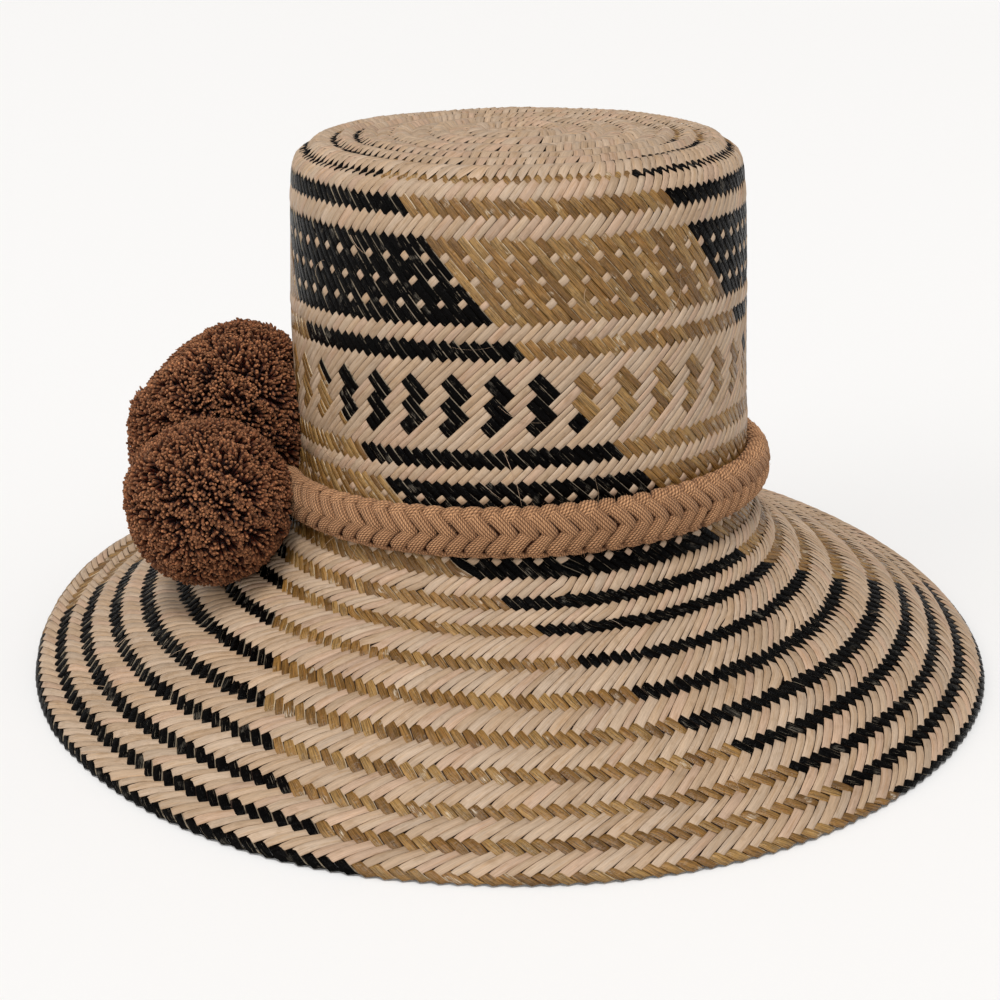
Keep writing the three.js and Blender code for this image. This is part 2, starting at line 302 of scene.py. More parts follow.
class Ring:
    """One ring of the weave: its place in the lattice and its uneven strips."""

    def __init__(self, index):
        far_arc, self.rows, self.count, self.chart = RINGS[index]
        self.first_row = RING_FIRST[index]
        self.next_count = RINGS[min(index + 1, len(RINGS) - 1)][2]
        self.spread = spread_map(self.count, self.next_count)
        self.jitter_a = random.uniform(-STRIP_JITTER, STRIP_JITTER, self.count)
        self.jitter_b = random.uniform(-STRIP_JITTER, STRIP_JITTER, self.count) * PLAIN_JITTER
        self.part = next(part for part in PARTS if far_arc < part["end"])
        self.puff = self.part["puff"].get(self.chart, 0)

    def uneven(self, values, number):
        """A strip's number moved a little, so that widths differ and neighbours still meet."""
        low = np.floor(number)
        share = number - low
        low = low.astype(int)
        return number + values[low % self.count] * (1 - share) + values[(low + 1) % self.count] * share

    def share_at(self, row):
        """How far out in the ring a row lies, from 0 to 1."""
        return np.clip((row - self.first_row + 0.5) / self.rows, 0, 1)

    def angle(self, x, row):
        """Angle round the hat of a place in the lattice, before the drift."""
        share = self.share_at(row)
        far = follow(self.spread, self.count, self.next_count, x)
        return TURN * ((1 - share) * x / self.count + share * far / self.next_count)

    def place(self, a, b, lift):
        """Points for numbers of a dyed and a plain strip."""
        a = self.uneven(self.jitter_a, a)
        b = self.uneven(self.jitter_b, b)
        row = b - a
        arc = np.interp(row, ROW_KNOTS, ARC_KNOTS)
        lift = lift + self.puff * np.sin(math.pi * self.share_at(row))
        drift = np.radians(np.interp(arc, DRIFT[:, 0], DRIFT[:, 1]))
        return surface(arc, self.angle((a + b) / 2, row) + drift, lift)

    def dyed_on_top(self, row, a):
        """Whether dyed strip a is on top in a row of this ring."""
        if self.chart == "light":
            return False
        if self.chart in SQUARE_SHIFT:
            step = row // SQUARE_EVERY + SQUARE_SHIFT[self.chart]
            return not (row % SQUARE_EVERY == SQUARE_EVERY - 1 and (a + step) % 2 == 0)
        if self.chart == "motif":
            return row in MOTIF_ROWS[(a + MOTIF_SHIFT) % len(MOTIF_ROWS)]
        return True

    def group(self, a):
        """Colour of dyed strip a in this ring."""
        if self.chart == "plain":
            return "straw"
        middle = self.first_row + (self.rows - 1) / 2
        angle = math.degrees(float(self.angle(a + 0.5 + middle / 2, middle)))
        start = np.interp(GROUP_REFERENCE_ARC, ARC_KNOTS, TURN_KNOTS)
        turned = float(np.interp(middle, ROW_KNOTS, TURN_KNOTS)) - start
        first = GROUPS[0][0]
        own = (angle - turned - first) % 360 + first
        return [name for begin, name in GROUPS if begin <= own][-1]

    def runs(self, on_top):
        """Stretches of rows for which a strip stays on top: first row and number of rows."""
        found = []
        begin = None
        for row in range(self.rows + 1):
            top = row < self.rows and on_top(row)
            if top and begin is None:
                begin = row
            if not top and begin is not None:
                found.append((begin, row - begin))
                begin = None
        return found

    def floats(self, outside, group):
        """(is dyed, strip, first crossing along it, crossings) of one colour's floats on one side."""
        found = []
        first = self.first_row
        for strip in range(self.count):
            if self.group(strip) != group:
                continue
            for begin, length in self.runs(lambda row: self.dyed_on_top(row, strip) == outside):
                found.append((True, strip, strip + first + begin, length))
        if group != "straw":
            return found
        for strip in range(first, first + self.count):
            def plain_on_top(row):
                return self.dyed_on_top(row, (strip - first - row) % self.count) != outside

            for begin, length in self.runs(plain_on_top):
                found.append((False, strip, strip - first - begin - length + 1, length))
        return found


# Meshes made from arrays. A part of a mesh is its points, faces, strip coordinates and tints.

def mesh_object(name, points, quads, attributes=None, smooth=True):
    """Mesh from arrays of points and four-cornered faces, with attributes on its points."""
    mesh = bpy.data.meshes.new(name)
    mesh.vertices.add(len(points))
    mesh.vertices.foreach_set("co", np.asarray(points, np.float32).ravel())
    quads = np.asarray(quads, np.int32)
    mesh.loops.add(quads.size)
    mesh.loops.foreach_set("vertex_index", quads.ravel())
    mesh.polygons.add(len(quads))
    mesh.polygons.foreach_set("loop_start", np.arange(0, quads.size, 4, dtype=np.int32))
    mesh.polygons.foreach_set("loop_total", np.full(len(quads), 4, np.int32))
    mesh.polygons.foreach_set("use_smooth", np.full(len(quads), smooth))
    mesh.update(calc_edges=True)
    for key, values in (attributes or {}).items():
        kind, slot = ("FLOAT_COLOR", "color") if key == "tint" else ("FLOAT_VECTOR", "vector")
        layer = mesh.attributes.new(key, kind, "POINT")
        layer.data.foreach_set(slot, np.asarray(values, np.float32).ravel())
    piece = bpy.data.objects.new(name, mesh)
    bpy.context.scene.collection.objects.link(piece)
    return piece


def grid_quads(rows, columns, wrap_rows=False, wrap_columns=False):
    """Corner numbers of the faces of a grid of points."""
    row = np.arange(rows if wrap_rows else rows - 1)
    column = np.arange(columns if wrap_columns else columns - 1)
    row, column = (values.ravel() for values in np.meshgrid(row, column, indexing="ij"))
    next_row = (row + 1) % rows
    next_column = (column + 1) % columns
    corners = (row * columns + column, row * columns + next_column)
    beyond = (next_row * columns + next_column, next_row * columns + column)
    return np.stack([*corners, *beyond], axis=-1)


FIBRE_SIDES = 3


def fibre_rings(steps, radius, taper):
    """Shares along a thin tapered fibre, and sideways and upward places round it."""
    share = np.linspace(0, 1, steps)
    side = np.linspace(0, TURN, FIBRE_SIDES, endpoint=False)
    thick = radius * (1 - taper * share)[None, :, None]
    return share, thick * np.cos(side), thick * np.sin(side)


def joined(name, parts):
    """One mesh from several parts."""
    offset = 0
    faces = []
    for points, quads, _, _ in parts:
        faces.append(quads + offset)
        offset += len(points)
    attributes = {
        "strip": np.concatenate([part[2] for part in parts]),
        "tint": np.concatenate([part[3] for part in parts]),
    }
    return mesh_object(name, np.concatenate([part[0] for part in parts]), np.concatenate(faces), attributes)


def mesh_part(points, face, across, along, seed, tone):
    """Part of a mesh: equal grids of points with the faces of one grid, strip coordinates and tint."""
    shape = points.shape[:-1]
    rows, columns = shape[-2:]
    copies = np.arange(math.prod(shape[:-2]))[:, None, None]
    strips = np.stack([np.broadcast_to(value, shape) for value in (across, along, seed)], axis=-1)
    tint = np.ones((*shape, 4))
    tint[..., :3] = tone
    quads = (face[None] + copies * (rows * columns)).reshape(-1, 4)
    return points.reshape(-1, 3), quads, strips.reshape(-1, 3), tint.reshape(-1, 4)


def some_tones(group, count):
    """Linear colours of single strips of a group, each near the group's mean."""
    tones = np.array(TONES[group])
    picked = tones[random.integers(0, len(tones), count)]
    mean = tones.mean(axis=0)
    spread = TONE_SPREAD[group]
    tone = (mean + (picked - mean) * spread) * random.normal(1, TONE_JITTER, (count, 1))
    return to_linear(np.clip(tone, 0, 1))


# The hat's woven wall.

def along_samples(length, outside=True):
    """Places along a float, in crossings, and its height there. The inside is plainer."""
    if not outside:
        inner = np.linspace(INSIDE_FLAT_FROM, length - INSIDE_FLAT_FROM, 2 + length // 3)
        places = np.concatenate([[-TUCK], inner, [length + TUCK]])
        heights = np.full(len(places), FLOAT_TOP)
        heights[[0, -1]] = FLOAT_UNDER
        return places, heights
    inner = np.linspace(FLAT_FROM, length - FLAT_FROM, 2 + length // 2)
    places = np.concatenate([[-TUCK, -COMES_UP], inner, [length + COMES_UP, length + TUCK]])
    heights = FLOAT_TOP + FLOAT_BOW * np.sin(math.pi * np.clip(places / length, 0, 1))
    heights[[0, -1]] = FLOAT_UNDER
    heights[[1, -2]] = FLOAT_RISING
    return places, heights


def ring_floats(ring, dyed, length, items, outside, group):
    """Part of a mesh: the floats of one length in one ring."""
    places, heights = along_samples(length, outside)
    across, edge_lift = (ACROSS, EDGE_LIFT) if outside else (ACROSS[[0, -1]], 0)
    count = len(items)
    strip = np.array([item[0] for item in items], float)[:, None, None]
    start = np.array([item[1] for item in items], float)[:, None, None]
    # The gap on each side of a strip widens towards the ends of its float. Squares of even draws make
    # few wide gaps, and three times their mean is one.
    from_middle = np.abs(2 * np.clip(places / length, 0, 1) - 1)[:, None] ** 2
    gap = ring.part["gap"] * 3 * random.uniform(0, 1, (2, count, 1, 1)) ** 2
    end_gap = ring.part["end_gap"] * from_middle
    gap = gap + end_gap * random.uniform(0, END_GAP_MOST, (2, count, 1, 1))
    own = strip + gap[0] + across * (1 - gap[0] - gap[1])
    other = start + places[:, None] + 0 * own
    slant = (0.5 - across) * ring.part["shingle"] * random.uniform(0, SLANT_MOST, (count, 1, 1))
    bulge = random.uniform(*FLOAT_BULGE, (count, 1, 1)) * (heights[:, None] > 0)
    lift = heights[:, None] + edge_lift + slant + bulge
    if not outside:
        lift = -WALL_DEPTH - lift
    placed = ring.place(own, other, lift) if dyed else ring.place(other, own, lift)
    face = grid_quads(len(places), len(across))
    if dyed == outside:
        face = face[:, ::-1]
    seed = random.uniform(0, SEEDS["straw"], (count, 1, 1))
    tone = some_tones(group, count)[:, None, None]
    soft_edge = ring.part["soft_edge"]
    shown = np.clip(across, soft_edge, 1 - soft_edge)
    return mesh_part(placed, face, shown, places[:, None] * STRIP_WIDTH, seed, tone)


def weave(name, rings, outside, group):
    """One mesh of all the floats of one colour on one side of some rings."""
    parts = []
    for ring in rings:
        sheets = {}
        for dyed, strip, start, length in ring.floats(outside, group):
            sheets.setdefault((dyed, length), []).append((strip, start))
        for (dyed, length), items in sheets.items():
            parts.append(ring_floats(ring, dyed, length, items, outside, group))
    return joined(name, parts)


# Pitch and radius in mm of the plain plait at the middle of the crown's top.
CENTRE_PITCH = 3.6
CENTRE_REACH = 15.0


def centre_patch():
    """Plain plait at the middle of the crown's top, where the weave starts."""
    size = int(CENTRE_REACH / CENTRE_PITCH) + 2
    places, heights = along_samples(1)
    cells = [(strip, cell) for strip in range(-size, size) for cell in range(-size, size)]
    parts = []
    for outside in (True, False):
        for one_way in (True, False):
            for strip, cell in cells:
                over = (strip + cell) % 2 == (0 if one_way else 1)
                if over != outside or math.hypot(strip + 0.5, cell + 0.5) * CENTRE_PITCH > CENTRE_REACH:
                    continue
                own = (strip + ACROSS)[None] * CENTRE_PITCH + 0 * places[:, None]
                other = (cell + places)[:, None] * CENTRE_PITCH + 0 * own
                x, y = (own, other) if one_way else (other, own)
                lift = heights[:, None] + EDGE_LIFT
                lift = lift if outside else -WALL_DEPTH - lift
                placed = surface(np.hypot(x, y), np.arctan2(x, -y), lift)
                face = grid_quads(len(places), len(ACROSS))
                face = face if one_way == outside else face[:, ::-1]
                seed = random.uniform(0, SEEDS["straw"])
                along = places[:, None] * STRIP_WIDTH
                parts.append(mesh_part(placed, face, ACROSS, along, seed, some_tones("straw", 1)[0]))
    return joined("crown_centre", parts)


# The shell inside the weave, along the outline in mm, and its segments round the hat.
LINER_START = 0.5
LINER_END = 352.5
LINER_STEP = 4.0
LINER_SEGMENTS = 132


def liner():
    """Closed shell inside the weave, so that no light comes through the gaps."""
    arcs = np.concatenate([np.arange(LINER_START, LINER_END, LINER_STEP), [LINER_END]])
    depths = np.concatenate([np.full(len(arcs), -LINER_DEPTH), np.full(len(arcs), LINER_DEPTH - WALL_DEPTH)])
    path = np.concatenate([arcs, arcs[::-1]])
    angle = np.linspace(0, TURN, LINER_SEGMENTS, endpoint=False)
    points = surface(path[:, None], angle[None], depths[:, None])
    faces = grid_quads(len(path), LINER_SEGMENTS, True, True)
    return mesh_object("straw_wall", points.reshape(-1, 3), faces)


# Loose fibres: ranges of their place along the outline and their length in mm, of their direction in
# radians and of their arch in mm, how they bend, how high they lie, their thickness and their tone.
LOOSE_FIBRES = 90
LOOSE_STEPS = 7
LOOSE_PLACE = (95, 345)
LOOSE_LENGTH = (8, 24)
LOOSE_HEADING = (0.3, 1.4)
LOOSE_ARCH = (0.1, 0.9)
LOOSE_BEND = 0.5
LOOSE_LIFT = 0.42
LOOSE_RADIUS = 0.13
LOOSE_TAPER = 0.6
LOOSE_TONE = 1.25
# Place along the grain at a loose fibre's end, and the seed that all of them share.
LOOSE_GRAIN = 9
LOOSE_SEED = 3.0


def loose_fibres():
    """Fine split fibres that have come loose and lie across the weave."""
    count = LOOSE_FIBRES
    share, sideways, upwards = fibre_rings(LOOSE_STEPS, LOOSE_RADIUS, LOOSE_TAPER)
    start = random.uniform(*LOOSE_PLACE, count)
    turn = random.uniform(0, TURN, count)
    length = random.uniform(*LOOSE_LENGTH, count)
    heading = random.choice([-1, 1], count) * random.uniform(*LOOSE_HEADING, count)
    bend = random.normal(0, LOOSE_BEND, count)
    direction = heading[:, None] + bend[:, None] * share
    arc = start[:, None] + length[:, None] * share * np.cos(direction)
    radius = np.interp(arc, ARC, RADIUS)
    angle = turn[:, None] + length[:, None] * share * np.sin(direction) / radius
    rise = LOOSE_LIFT + random.uniform(*LOOSE_ARCH, (count, 1)) * np.sin(math.pi * share)
    angle = angle[..., None] + sideways / radius[..., None]
    points = surface(arc[..., None] + 0 * angle, angle, rise[..., None] + upwards)
    tone = some_tones("straw", count)[:, None, None] * LOOSE_TONE
    face = grid_quads(LOOSE_STEPS, FIBRE_SIDES, False, True)
    part = mesh_part(points, face, 0.5, share[:, None] * LOOSE_GRAIN, LOOSE_SEED, tone)
    return joined("loose_fibres", [part])


# The band around the crown: a padded core under strands that are plaited over it. Its height, how
# much higher it is on the right and at the back, and its gap from the wall, in mm.

BAND_HEIGHT = 76.0
BAND_RIGHT = 1.0
BAND_BACK = -0.9
BAND_GAP = 0.3
BAND_PLAITS = 88
BAND_RADIUS = 101.0
BAND_PITCH = TURN * BAND_RADIUS / BAND_PLAITS
# Half height and half thickness of the core's section in mm, how far its middle is from the wall in
# half thicknesses, how square it is, and steps: round it for its girth, along the band and round it.
CORE_HALF = 7.3
CORE_THICK = 3.4
CORE_OFFSET = 1.05
CORE_SQUARE = 2.5
GIRTH_SAMPLES = 721
CORE_SEGMENTS = 264
CORE_SIDES = 24
# Half the length in mm over which the section's slope is taken.
GIRTH_STEP = 0.3


def core_section():
    """Girth, height and distance out round the core's section, from its back over the top."""
    slope = np.linspace(math.pi, -math.pi, GIRTH_SAMPLES)
    power = 2 / CORE_SQUARE
    out = CORE_THICK * (CORE_OFFSET + np.sign(np.cos(slope)) * np.abs(np.cos(slope)) ** power)
    up = CORE_HALF * np.sign(np.sin(slope)) * np.abs(np.sin(slope)) ** power
    girth = np.concatenate([[0], np.cumsum(np.hypot(np.diff(out), np.diff(up)))])
    # Girth is zero in the middle of the front and grows upwards.
    return (girth[len(girth) // 2] - girth)[::-1], up[::-1], out[::-1]


CORE_GIRTH, CORE_UP, CORE_OUT = core_section()


def band_point(angle, up, out):
    """Points in the band's own frame: round the hat, up along its wall and out from it."""
    height = BAND_HEIGHT + BAND_RIGHT * np.sin(angle) - BAND_BACK * np.cos(angle)
    arc = np.interp(-height, -HEIGHT, ARC) - up
    return surface(arc, angle, BAND_GAP + out)


def girth_change(girth, values):
    """How much a measure of the core's section changes from just before a girth to just after."""
    before, after = (np.interp(girth + step, CORE_GIRTH, values) for step in (-GIRTH_STEP, GIRTH_STEP))
    return after - before


def band_surface(along, girth, lift):
    """Points on the core: distance along the band, place on its section, height above it."""
    up = np.interp(girth, CORE_GIRTH, CORE_UP)
    out = np.interp(girth, CORE_GIRTH, CORE_OUT)
    step_up = girth_change(girth, CORE_UP)
    step_out = girth_change(girth, CORE_OUT)
    size = np.maximum(np.hypot(step_up, step_out), 1e-6)
    return band_point(along / BAND_RADIUS, up - step_out / size * lift, out + step_up / size * lift)


def band_core():
    """Part of a mesh: the padded core, dark with painted shade where it shows between strands."""
    girth = np.linspace(CORE_GIRTH[0], CORE_GIRTH[-1], CORE_SIDES, endpoint=False)[None]
    along = np.linspace(0, TURN * BAND_RADIUS, CORE_SEGMENTS, endpoint=False)[:, None]
    face = grid_quads(CORE_SEGMENTS, CORE_SIDES, True, True)
    return mesh_part(band_surface(along, girth, 0), face, girth, along, 0.0, to_linear(COTTON_PAINTED_SHADE))


# Strands of the plait: girth where they start and end, how far they run along the band in pitches,
# half width, how round they are, yarns side by side, first place along the band in pitches, and
# heights at fifths of their length. Lengths are in mm.
BAND_STRANDS = {
    "upper": {
        "girth": (8.4, -2.3), "pitches": 1.75, "half": 2.38, "round": 1.8, "yarns": 5, "first": 0.0,
        "heights": (-1.5, 0.0, 0.4, 0.5, 0.5, -1.5),
    },
    "lower": {
        "girth": (3.0, -8.4), "pitches": -1.3, "half": 2.8, "round": 1.8, "yarns": 6, "first": 2.55,
        "heights": (-1.8, -0.3, 0.25, 0.4, 0.1, -1.4),
    },
    "top_edge": {
        "girth": (12.4, 4.3), "pitches": -0.8, "half": 3.15, "round": 1.25, "yarns": 6, "first": 0.75,
        "heights": (-0.4, 0.4, 0.7, 0.8, 0.4, -1.5),
    },
    "bottom_edge": {
        "girth": (-6.4, -11.6), "pitches": 1.6, "half": 1.9, "round": 1.3, "yarns": 4, "first": 0.2,
        "heights": (-1.2, 0.0, 0.2, 0.1, -0.1, -0.9),
    },
}
# Places across one yarn, its ridge there as a part, and the ridge's height in mm.
YARN_PLACES = np.array([0, 0.25, 0.5, 0.75])
YARN_RIDGES = np.array([0, 0.9, 1, 0.9])
YARN_RIDGE = 0.42
# Places along a strand, and the share of its light at some of them, with dark ends.
STRAND_PLACES = np.concatenate([[0, 0.05], np.linspace(0.13, 0.87, 6), [0.95, 1.0]])
STRAND_LIGHT = ([0, 0.14, 0.86, 1], [0, 1, 1, 0])
# Width at a strand's start and end, as a part of the full width, and how fast it grows from there.
START_WIDTH = (0.5, 3.2)
END_WIDTH = (0.42, 4.5)
# The part of its half width over which a strand is rounded.
ROUND_PART = 0.97
# How strands differ: place along the band in mm, width, sideways bow and height in mm, and light.
STRAND_STRAY = 0.30
STRAND_WIDTH = 0.05
STRAND_BOW = (0.35, 0.22)
STRAND_LIFT = (-0.12, 0.18)
STRAND_SHADES = (0.86, 1.06)
# Light in the creases between yarns, and how dark and how narrow a strand's shaded edges are.
CREASE_LIGHT = 0.05
EDGE_SHADE = 0.7
EDGE_POWER = 5


def band_strands(name):
    """Part of a mesh: one family of strands, each of several twisted yarns side by side."""
    own = BAND_STRANDS[name]
    yarns = own["yarns"]
    girth_start, girth_end = own["girth"]
    across = np.concatenate([index + YARN_PLACES for index in range(yarns)] + [[yarns]]) / yarns * 2 - 1
    ridge = np.concatenate([np.tile(YARN_RIDGES, yarns), [0]])
    run = own["pitches"] * BAND_PITCH
    drop = girth_end - girth_start
    size = math.hypot(run, drop)
    share, side = np.meshgrid(STRAND_PLACES, across, indexing="ij")
    each = (BAND_PLAITS, 1, 1)
    start = (np.arange(BAND_PLAITS) + own["first"])[:, None, None] * BAND_PITCH
    start = start + random.normal(0, STRAND_STRAY, each)
    # Strands are rounded off at both ends, and bow a little to one side.
    widths = (START_WIDTH[0] + START_WIDTH[1] * share, END_WIDTH[0] + END_WIDTH[1] * (1 - share))
    narrow = own["half"] * np.minimum(1, np.minimum(*widths)) * random.normal(1, STRAND_WIDTH, each)
    bow = np.sin(math.pi * share) * random.normal(*STRAND_BOW, each)
    sideways = side * narrow + bow
    along = start + run * share - sideways * drop / size
    girth = girth_start + drop * share + sideways * run / size
    round_top = own["round"] * np.sqrt(np.clip(1 - (side * ROUND_PART) ** 2, 0, 1))
    lift = np.interp(share, np.linspace(0, 1, len(own["heights"])), own["heights"])
    lift = lift + round_top + YARN_RIDGE * ridge + random.uniform(*STRAND_LIFT, each)
    # Painted shade: yarns are dark in the creases between them, at the strand's edges and where its
    # ends dive in.
    edges = 1 - EDGE_SHADE * np.abs(side) ** EDGE_POWER
    light = (CREASE_LIGHT + (1 - CREASE_LIGHT) * ridge) * edges * np.interp(share, *STRAND_LIGHT)
    light = light * random.uniform(*STRAND_SHADES, each)
    tone = between(COTTON_PAINTED_SHADE, COTTON_TONE, light[..., None])
    seed = random.uniform(0, SEEDS["cotton"], each)
    face = grid_quads(*share.shape)
    if run < 0:
        face = face[:, ::-1]
    points = band_surface(along, girth, lift)
    return mesh_part(points, face, side * yarns / 2, share * size, seed, tone)


# Fine fibres on the band: girth up to which they start, how they stray along and across the band, how
# high they start, how far they stand off, and their thickness, in mm, and their tone.
BAND_HAIRS = 1600
HAIR_STEPS = 3
HAIR_GIRTH = 12
HAIR_STRAY = (1.3, 0.9)
HAIR_LIFT = 2.0
HAIR_RISE = (0.3, 1.2)
HAIR_RADIUS = 0.055
HAIR_TAPER = 0.7
HAIR_TONE = 1.3


def band_hairs():
    """Part of a mesh: short fine fibres that stand off the cotton."""
    each = (BAND_HAIRS, 1)
    share, sideways, upwards = fibre_rings(HAIR_STEPS, HAIR_RADIUS, HAIR_TAPER)
    along = random.uniform(0, TURN * BAND_RADIUS, each)
    girth = random.uniform(-HAIR_GIRTH, HAIR_GIRTH, each)
    run, drift = (random.normal(0, stray, each) * share for stray in HAIR_STRAY)
    lift = HAIR_LIFT + random.uniform(*HAIR_RISE, each) * share
    across = (girth + drift)[..., None] + upwards
    points = band_surface((along + run)[..., None] + sideways, across, lift[..., None] + 0 * across)
    face = grid_quads(HAIR_STEPS, FIBRE_SIDES, False, True)
    return mesh_part(points, face, 0.5, share[:, None], 1.0, to_linear(COTTON_TONE) * HAIR_TONE)


# The pompoms: centre and radius in mm, stretch, the side where each is flattened, how far it reaches
# there and how far its yarns are combed over, in mm, and the side where it swells, with the part of its
# radius that it gains. The lower one stays round, because its flat side lies outside its ball.

POMPOMS = {
    "upper": {
        "centre": (-117.5, -3, 96.5), "radius": 40.5, "stretch": (1.07, 1.0, 1.05),
        "flat_side": (-0.63, 0, 0.777), "flat_reach": 34.3, "comb": (-4.6, -1.4, -1.8),
        "swell_side": (-0.83, -0.15, -0.53), "swell": 0.15,
    },
    "lower": {
        "centre": (-118.0, -54, 76.0), "radius": 33.5, "stretch": (1.0, 1.0, 1.03),
        "flat_side": (0, 0, 1), "flat_reach": 45.0, "comb": (0, 0, 0),
        "swell_side": (-0.91, 0.14, 0.38), "swell": 0.06,
    },
}
# Average reach of the yarns, as a part of the radius, and how it varies between clumps and yarns.
YARN_REACH = 0.965
CLUMP_REACH = 0.09
REACH_JITTER = 0.012
# Clumps are a sum of waves over the ball, with a fineness and a seed. Tips lean in mm.
CLUMP_WAVES = 12
REACH_CLUMPS = (3.5, 4)
BROAD_CLUMPS = (7.0, 8)
FINE_CLUMPS = (20.0, 9)
BROAD_LEAN = 6.5
FINE_LEAN = 3.6
LEAN_JITTER = 0.5
LEAN_POWER = 1.6
# Spacing of the yarns in mm, the area of each as a part of the spacing's square, and their form.
YARN_SPACING = 1.52
YARN_PACKING = 0.87
SPACING_JITTER = 0.25
YARN_RADIUS = 0.67
RADIUS_SPREAD = (0.8, 1.2)
YARN_LENGTH = 9.0
YARN_CURL = 0.85
YARN_SIDES = 4
YARN_SHADES = (0.7, 1.2)
# How sharply a flat side's edge is bent. Then, as cosines of the angle from the middle of a side, where
# combing begins and how soon it is full, and how wide the swelling is.
FLAT_EDGE = 9.0
COMB_FROM = 0.76
COMB_WIDTH = 0.18
SWELL_WIDTH = 0.08
# Most depth of a yarn, as a part of its reach. The head, dark with painted shade, lies at a part of the
# yarns' depth. It has a small hole at its top and bottom, of an angle in radians, and follows the
# nearest yarns.
DEEPEST = 0.5
HEAD_DEPTH = 0.6
HEAD_ROWS = 25
HEAD_COLUMNS = 48
HEAD_OPENING = 0.02
HEAD_NEIGHBOURS = 8
# The hat as the pompoms meet it, in mm: crown, start of the brim and cosine of its slope, and the band
# as a rounded box with its radius, half height and rounding.
CROWN_RADIUS = 94.5
BRIM_RADIUS = 95
BRIM_COSINE = 0.87
BAND_BOX = (101, 4, 6)
# Gaps in mm to the hat and between the pompoms, and how yarns are drawn in until they fit.
HAT_GAP = 0.5
NEIGHBOUR_GAP = 0.3
PRESS_ROUNDS = 30
PRESS_STEP = 0.15
LEAST_REACH = 0.35
# Yarns pressed in deeper than this part of their free reach lie hidden and are left out.
YARN_HIDDEN = 0.80
# Along each yarn: depth below its tip in mm, its width, and its painted light there, pale at the tip.
YARN_DEPTH = np.array([0.0, 0.3, 2.4, YARN_LENGTH])
YARN_WIDTH = np.array([0.5, 1.0, 1.0, 0.7])
YARN_PAINTED_LIGHT = np.array([1.0, 0.74, 0.22, 0.0])


def unit(vectors):
    return vectors / np.linalg.norm(vectors, axis=1, keepdims=True)


def along_ball(out, vectors):
    """Vectors without their share along the outward directions."""
    return vectors - out * np.sum(vectors * out, axis=1, keepdims=True)


def spread_directions(count):
    """Evenly spread unit directions."""
    index = np.arange(count) + 0.5
    up = 1 - 2 * index / count
    turn = index * math.pi * (3 - math.sqrt(5))
    flat = np.sqrt(1 - up * up)
    return np.stack([flat * np.cos(turn), flat * np.sin(turn), up], axis=-1)


def clumps(out, scale, seed):
    """Smooth disorder over a ball: a displacement for every direction."""
    own = np.random.default_rng(seed)
    total = np.zeros_like(out)
    for _ in range(CLUMP_WAVES):
        wave = own.normal(0, scale, 3)
        phase = own.uniform(0, TURN)
        total += np.sin(out @ wave + phase)[:, None] * own.normal(0, 1, 3)
    return total / CLUMP_WAVES


def clear_of_hat(points, gap):
    """How far points in mm are outside the hat's wall and its band."""
    shift = lean_at(points[:, 2])[0]
    radius = np.hypot(points[:, 0] - shift, points[:, 1])
    brim = RADIUS > BRIM_RADIUS
    over_brim = (points[:, 2] - np.interp(radius, RADIUS[brim], HEIGHT[brim])) * BRIM_COSINE
    from_crown = radius - CROWN_RADIUS
    angle = np.arctan2(points[:, 0] - shift, -points[:, 1])
    right, back = lean_at(BAND_HEIGHT)[1:]
    middle = BAND_HEIGHT + (BAND_RIGHT + right) * np.sin(angle) - (BAND_BACK + back) * np.cos(angle)
    box_radius, box_half, rounding = BAND_BOX
    beside = np.maximum(np.abs(points[:, 2] - middle) - box_half, 0)
    from_band = np.hypot(beside, np.maximum(radius - box_radius, 0)) - rounding
    return np.minimum(np.minimum(over_brim, from_crown), from_band) - gap


def yarn_reach(name, out):
    """How far each yarn of a pompom reaches, cut round and pressed by others, and whether it shows."""
    own = POMPOMS[name]
    centre = np.array(own["centre"], float)
    size = own["radius"]
    other = POMPOMS["lower" if name == "upper" else "upper"]
    towards = np.array(other["centre"], float) - centre
    apart = np.linalg.norm(towards)
    meeting = (apart + size - other["radius"]) / 2 - NEIGHBOUR_GAP
    round_reach = size / np.linalg.norm(out / np.array(own["stretch"]), axis=1)
    unevenness = CLUMP_REACH * clumps(out, *REACH_CLUMPS)[:, 0] + random.normal(0, REACH_JITTER, len(out))
    reach = round_reach * (YARN_REACH + unevenness)
    beside = 1 - out @ np.array(own["swell_side"])
    reach = reach * (1 + own["swell"] * np.exp(-beside / SWELL_WIDTH))
    # The flat side runs into the round form over a soft edge.
    flat = own["flat_reach"] / np.maximum(out @ np.array(own["flat_side"]), 1e-6)
    reach = (reach ** -FLAT_EDGE + flat ** -FLAT_EDGE) ** (-1 / FLAT_EDGE)
    reach = np.minimum(reach, meeting / np.maximum(out @ towards / apart, 1e-6))
    for _ in range(PRESS_ROUNDS):
        buried = clear_of_hat(centre + out * reach[:, None], HAT_GAP)
        reach = np.where(buried < 0, reach + np.minimum(buried, -PRESS_STEP), reach)
    return np.maximum(reach, size * LEAST_REACH), reach > round_reach * YARN_HIDDEN


def yarn_lean(name, out):
    """How far the tips of a pompom's yarns lean over: in clumps, and combed on the flat side."""
    own = POMPOMS[name]
    lean = clumps(out, *BROAD_CLUMPS) * BROAD_LEAN + clumps(out, *FINE_CLUMPS) * FINE_LEAN
    lean += random.normal(0, LEAN_JITTER, out.shape)
    on_flat = np.clip((out @ np.array(own["flat_side"]) - COMB_FROM) / COMB_WIDTH, 0, 1)
    return along_ball(out, lean + on_flat[:, None] * np.array(own["comb"]))


